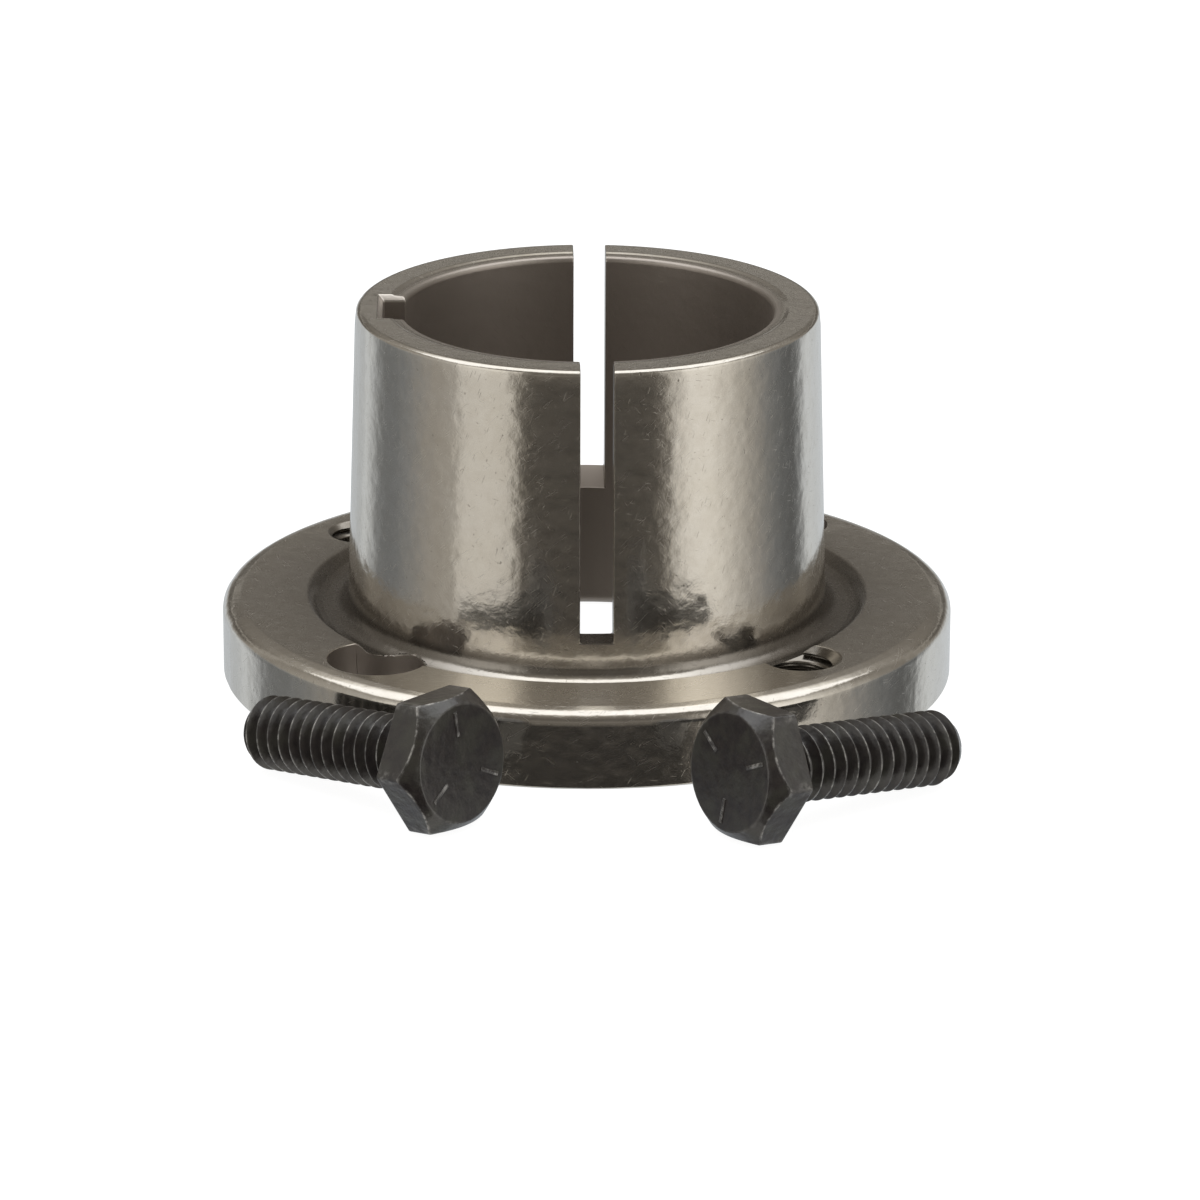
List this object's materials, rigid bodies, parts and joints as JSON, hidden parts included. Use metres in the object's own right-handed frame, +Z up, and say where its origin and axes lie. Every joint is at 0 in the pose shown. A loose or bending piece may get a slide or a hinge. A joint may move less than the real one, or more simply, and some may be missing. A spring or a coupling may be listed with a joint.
{
  "type": "split taper bushing with cap screws",
  "caption": "Flanged split taper bushing for a keyed shaft, with the hex cap screws that pull it into a tapered hub",
  "frame": {"origin": "on the resting surface, at the centre of the box around the bushing and its two screws; the bore axis is 8.1 mm behind it, towards +Y", "axes": "+Z up along the bore axis from the flange to the small end; the saw cuts face +Y and -Y, the keyway faces -X, and the screws lie on the -Y side"},
  "size_m": [0.0636, 0.0794, 0.0326],
  "materials": {
    "bushing_steel": "tumbled bare steel, warm grey",
    "screw_steel": "black oxide, satin"
  },
  "bodies": {
    "bushing": {"bushing_body": "bushing_steel"},
    "left_screw": {"left_cap_screw": "screw_steel"},
    "right_screw": {"right_cap_screw": "screw_steel"}
  },
  "joints": [
    {"name": "left_screw_lift", "type": "slide", "parent": "bushing", "child": "left_screw", "axis": [0, 0, 1], "range_m": [0, 0.045]},
    {"name": "right_screw_lift", "type": "slide", "parent": "bushing", "child": "right_screw", "axis": [0, 0, 1], "range_m": [0, 0.045]}
  ]
}
